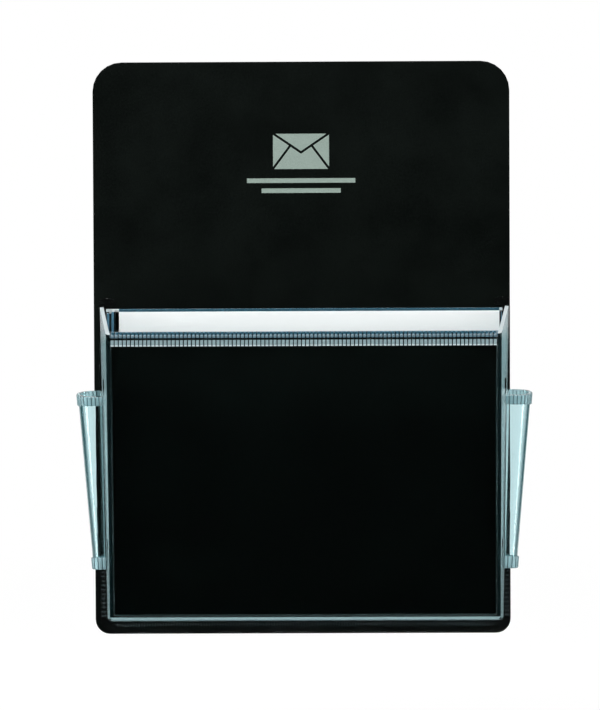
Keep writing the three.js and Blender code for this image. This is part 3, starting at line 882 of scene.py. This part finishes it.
def d_point(height, share, grown):
    """A point a share of the way round a tube's D-shaped outline, its facing, and the outline's length."""
    drop = -height / TUBE_LENGTH
    radius = TUBE_MOUTH_RADIUS + (TUBE_FOOT_RADIUS - TUBE_MOUTH_RADIUS) * drop
    centre = TUBE_WALL_GAP + TUBE_MOUTH_FLAT + (TUBE_FOOT_FLAT - TUBE_MOUTH_FLAT) * drop
    start = TUBE_WALL_GAP + BAND_START
    straight = centre - start
    bend = math.pi * radius
    length = 2 * straight + bend
    travel = share * length
    if travel < straight:
        angle = -math.pi / 2
        x = start + travel
    elif travel > straight + bend:
        angle = math.pi / 2
        x = start + length - travel
    else:
        angle = (travel - straight) / radius - math.pi / 2
        x = centre
    facing = Vector((math.cos(angle), math.sin(angle), 0))
    return Vector((x, 0, height)) + facing * (radius + grown), facing, length


def band(node, name, side, low, high, tilt):
    """A ribbed band round a tube between two heights, open towards the tray."""
    axes = tube_frame(side)
    turn = axes.to_3x3()
    length = d_point((low + high) / 2, 0, WELD_GAP + BAND_THICKNESS)[2]
    ribs = round(length / BAND_RIB_PITCH)
    outer = WELD_GAP + BAND_THICKNESS
    section = [
        (low, WELD_GAP, 0),
        (low, outer - BAND_ROUND / 2, BAND_RIM_SHARE),
        (low + BAND_ROUND, outer, 1),
        (high - BAND_ROUND, outer, 1),
        (high, outer - BAND_ROUND / 2, BAND_RIM_SHARE),
        (high, WELD_GAP, 0),
    ]
    rings = []
    for step in range(ribs * RIB_STEPS + 1):
        share = step / (ribs * RIB_STEPS)
        ring = []
        for height, grown, rib_share in section:
            point, facing, _ = d_point(height, share, grown)
            point.z += tilt * point.y * (height - low) / (high - low)
            ring.append((axes @ point, turn @ facing * rib_share))
        rings.append((length * share, ring))
    # The bands' valleys and their top and bottom faces have painted shade
    clear, pale, dark = range(3)
    zones = (dark, pale, pale, pale, dark, clear)
    start = lofted(name, rings, zones, dark)
    ribbed_piece(node, name, start, length / ribs, BAND_RIB_HEIGHT, (CLEAR, BAND, GAP_PAINTED_SHADE))


def bands():
    """The four ribbed bands: a collar at the mouth of each tube, and a band round its foot."""
    for name, side in SIDES:
        band(f"tube_collar_{name}", f"ribbed_collar_{name}", side, -COLLAR_HEIGHT, 0, side * MOUTH_TILT)
        band(f"tube_foot_{name}", f"ribbed_foot_{name}", side, -TUBE_LENGTH, FOOT_HEIGHT - TUBE_LENGTH, 0)


def beading():
    """Rows of small beads along paths, each as long as its path's reach there, lying across the path."""
    recipe = Recipe("beading", "Pitch", "Width", "Height", "Lift")
    path = recipe.node("GeometryNodeMeshToCurve", {}, {"Mesh": recipe.size("Geometry")})
    inputs = {"Curve": path, "Length": recipe.size("Pitch")}
    spots = recipe.node("GeometryNodeResampleCurve", {"mode": "LENGTH"}, inputs)
    inputs = {"Segments": BEAD_SEGMENTS, "Rings": BEAD_RINGS, "Radius": 0.5}
    ball = recipe.node("GeometryNodeMeshUVSphere", {}, inputs)
    size = recipe.vector(1, recipe.size("Width"), recipe.size("Height"))
    rise = recipe.vector(0, 0, recipe.size("Height") / 2 + recipe.size("Lift"))
    bead = recipe.node("GeometryNodeTransform", {}, {"Geometry": ball, "Translation": rise, "Scale": size})
    turned = recipe.node(
        "FunctionNodeAxesToRotation",
        {"primary_axis": "Z", "secondary_axis": "Y"},
        {"Primary Axis": (0, -1, 0), "Secondary Axis": recipe.node("GeometryNodeInputTangent")},
    )
    scale = recipe.vector(recipe.attribute("reach"), 1, 1)
    inputs = {"Points": spots, "Instance": bead, "Rotation": turned, "Scale": scale}
    row = recipe.node("GeometryNodeInstanceOnPoints", {}, inputs)
    return recipe.end(recipe.node("GeometryNodeSetShadeSmooth", {}, {"Geometry": row}))


def weld_beads():
    """Beads on the flange: along the foot, and up each side as far as the flange is wide enough."""
    face = SHEET_FRONT - FLANGE_THICKNESS
    foot_height = TRAY_FLOOR - FOOT_BEAD_DROP
    ends = (TRAY_LOW.x + BEAD_CORNER, TRAY_HIGH.x - BEAD_CORNER)
    foot_run = [(Vector((x, face, foot_height)), FOOT_BEAD_LENGTH) for x in ends]
    side_runs = []
    for side in (-1, 1):
        run = []
        for height in (TRAY_LOW.z + BEAD_CORNER, BEAD_TOP):
            foot = tray_half(FLANGE_THICKNESS, height)
            across = TRAY_MIDDLE + side * (FLANGE_HALF + foot) / 2
            run.append((Vector((across, face, height)), FLANGE_HALF - foot - BEAD_MARGIN))
        side_runs.append(run)
    bead_rows("foot_beads", [foot_run], FOOT_BEAD_PITCH, FOOT_BEAD_WIDTH)
    bead_rows("side_beads", side_runs, SIDE_BEAD_PITCH, SIDE_BEAD_WIDTH)


def bead_rows(name, runs, pitch, width):
    """Rows of beads along runs of two (point, reach) ends."""
    mesh = bpy.data.meshes.new(name)
    points = [point for run in runs for point, _ in run]
    mesh.from_pydata(points, [(2 * i, 2 * i + 1) for i in range(len(runs))], [])
    reach = mesh.attributes.new("reach", "FLOAT", "POINT")
    reach.data.foreach_set("value", [length for run in runs for _, length in run])
    sizes = {"Pitch": pitch, "Width": width, "Height": BEAD_HEIGHT, "Lift": BEAD_LIFT}
    piece = BEADING.make(name, mesh, BEAD, sizes)
    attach(piece, "pocket")


def shrunk(corners, amount):
    """An anticlockwise polygon with each side moved inward."""
    count = len(corners)
    sides = [(corners[(i + 1) % count] - corners[i]).normalized() for i in range(count)]
    inward = [Vector((-side.y, side.x)) for side in sides]
    return [
        corner + (inward[i - 1] + inward[i]) * amount / (1 + inward[i - 1].dot(inward[i]))
        for i, corner in enumerate(corners)
    ]


def sheet_print():
    """The print: an envelope with open seams, above two ruled lines."""
    shape = bmesh.new()

    def flat(corners):
        return shape.faces.new([
            shape.verts.new((corner.x, SHEET_FRONT - PRINT_LIFT, corner.y)) for corner in corners
        ])

    right = Vector((ENVELOPE_SIZE.x / 2, 0))
    top = PRINT_MIDDLE + Vector((0, ENVELOPE_RISE + ENVELOPE_SIZE.y / 2))
    foot = top - Vector((0, ENVELOPE_SIZE.y))
    tip = top - Vector((0, ENVELOPE_FLAP))
    fold = right * ENVELOPE_FOLD
    fold_drop = Vector((0, ENVELOPE_FLAP * (1 - ENVELOPE_FOLD)))
    left_fold = top - fold - fold_drop
    right_fold = top + fold - fold_drop
    panels = [
        [top - right, tip, top + right],
        [top - right, foot - right, left_fold],
        [top + right, right_fold, foot + right],
        [foot - right, foot + right, right_fold, tip, left_fold],
    ]
    for panel in panels:
        flat(shrunk(panel, ENVELOPE_SEAM / 2))
    for i, length in enumerate(RULED_LENGTHS):
        middle = PRINT_MIDDLE - Vector((0, RULED_DROP + i * RULED_PITCH))
        across = Vector((length / 2, 0))
        down = Vector((0, RULED_HEIGHT / 2))
        start = middle - across
        end = middle + across
        flat([start - down, end - down, end + down, start + down])
    raised = bmesh.ops.extrude_face_region(shape, geom=shape.faces[:])
    lift = Vector((0, -PRINT_THICKNESS, 0))
    tops = [part for part in raised["geom"] if isinstance(part, bmesh.types.BMVert)]
    bmesh.ops.translate(shape, vec=lift, verts=tops)
    bmesh.ops.recalc_face_normals(shape, faces=shape.faces)
    mesh = bpy.data.meshes.new("sheet_print")
    shape.to_mesh(mesh)
    shape.free()
    piece = new_piece("sheet_print", mesh, INK)
    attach(piece, "pocket")


def stage():
    """White studio: a pale floor that keeps a soft shadow, a white surround and soft lamps."""
    floor_mesh = bpy.data.meshes.new("floor")
    level = cad_box[0].z - FLOOR_DROP
    signs = ((-1, -1), (1, -1), (1, 1), (-1, 1))
    corners = [(x * FLOOR_REACH, y * FLOOR_REACH, level) for x, y in signs]
    floor_mesh.from_pydata(corners, [], [(0, 1, 2, 3)])
    floor = new_piece("floor", floor_mesh, floor_finish())
    floor.visible_glossy = False
    floor.visible_transmission = False
    surround()
    for plan in SOFT_LAMPS:
        lamp(*plan)
    for plan in STRIP_LAMPS:
        lamp(*plan).visible_glossy = False


def floor_finish():
    """Pale floor: white to the camera far off, with more of the real shading near the object."""
    finish = Finish("pale_floor")
    diffuse = finish.node("ShaderNodeBsdfDiffuse", {}, {"Color": FLOOR_COLOUR})
    glow = finish.node("ShaderNodeEmission", {}, {"Color": WHITE, "Strength": 1.0})
    seen = finish.node("ShaderNodeLightPath", out="Is Camera Ray")
    away = finish.node("ShaderNodeVectorMath", {"operation": "LENGTH"}, {0: finish.place}, out="Value")
    white = finish.fade(away, *FLOOR_FADE, FLOOR_NEAR_WHITE, 1)
    mixed = finish.node("ShaderNodeMixShader", {}, {0: seen * white, 1: diffuse, 2: glow})
    finish.node("ShaderNodeOutputMaterial", {}, {"Surface": mixed})
    return finish.material


def surround():
    """The world: white to the camera. Gloss and clear plastic see dark flags in front and beside it."""
    world = bpy.data.worlds.new("studio")
    bpy.context.scene.world = world
    world.use_nodes = True
    sky = Tree(world.node_tree)
    sky.tree.nodes.clear()
    direction = sky.node("ShaderNodeTexCoord", out="Generated")
    rear = sky.part(direction, "Y")
    height = sky.part(direction, "Z")
    seen = sky.node("ShaderNodeLightPath", out="Is Camera Ray")
    glossy = sky.node("ShaderNodeLightPath", out="Is Glossy Ray")
    through = sky.node("ShaderNodeLightPath", out="Is Transmission Ray")
    seen_through = through * sky.fade(rear, *BACKDROP_THROUGH)
    backdrop = seen_through + (1 - through) * sky.fade(rear, *BACKDROP_MIRRORED)
    above_flags = sky.fade(through * height.size() + (1 - through) * height, *FLAG_TOP)
    front_flag = sky.fade(rear, *FRONT_FLAG)
    mirrored = glossy.larger(through)
    white = backdrop.larger(above_flags).larger(1 - mirrored)
    colour = sky.mix(white, FLAG_COLOUR, WHITE)
    level = seen + (1 - seen) * (mirrored * (1 - front_flag) + (1 - mirrored) * AMBIENT)
    light = sky.node("ShaderNodeBackground", {}, {"Color": colour, "Strength": level})
    sky.node("ShaderNodeOutputWorld", {}, {"Surface": light})


def lamp(name, place, size, power):
    """A soft rectangular lamp that points at the origin."""
    data = bpy.data.lights.new(name, "AREA")
    data.shape = "RECTANGLE"
    data.size, data.size_y = size
    data.energy = power
    made = bpy.data.objects.new(name, data)
    made.location = place
    made.rotation_euler = (-place).to_track_quat("-Z", "Y").to_euler()
    bpy.context.scene.collection.objects.link(made)
    return made


def camera():
    """The photograph's view: almost straight on, a little from above, with a slight roll."""
    data = bpy.data.cameras.new("camera")
    data.sensor_width = SENSOR_MM
    data.lens = SENSOR_MM * CAMERA_DISTANCE * PX_PER_M / FRAME_HEIGHT_PX
    made = bpy.data.objects.new("camera", data)
    away = Vector((
        -math.sin(CAMERA_YAW) * math.cos(CAMERA_RISE),
        -math.cos(CAMERA_YAW) * math.cos(CAMERA_RISE),
        math.sin(CAMERA_RISE),
    ))
    made.location = AIM + away * CAMERA_DISTANCE
    turn = (-away).to_track_quat("-Z", "Y").to_matrix() @ Matrix.Rotation(-CAMERA_ROLL, 3, "Z")
    made.rotation_euler = turn.to_euler()
    bpy.context.scene.collection.objects.link(made)
    bpy.context.scene.camera = made


RIBBING = ribbing()
BEADING = beading()
plain_pieces()
tubes()
tray()
rail()
edging()
bands()
weld_beads()
sheet_print()
stage()
camera()
bpy.context.scene.view_settings.view_transform = "Standard"
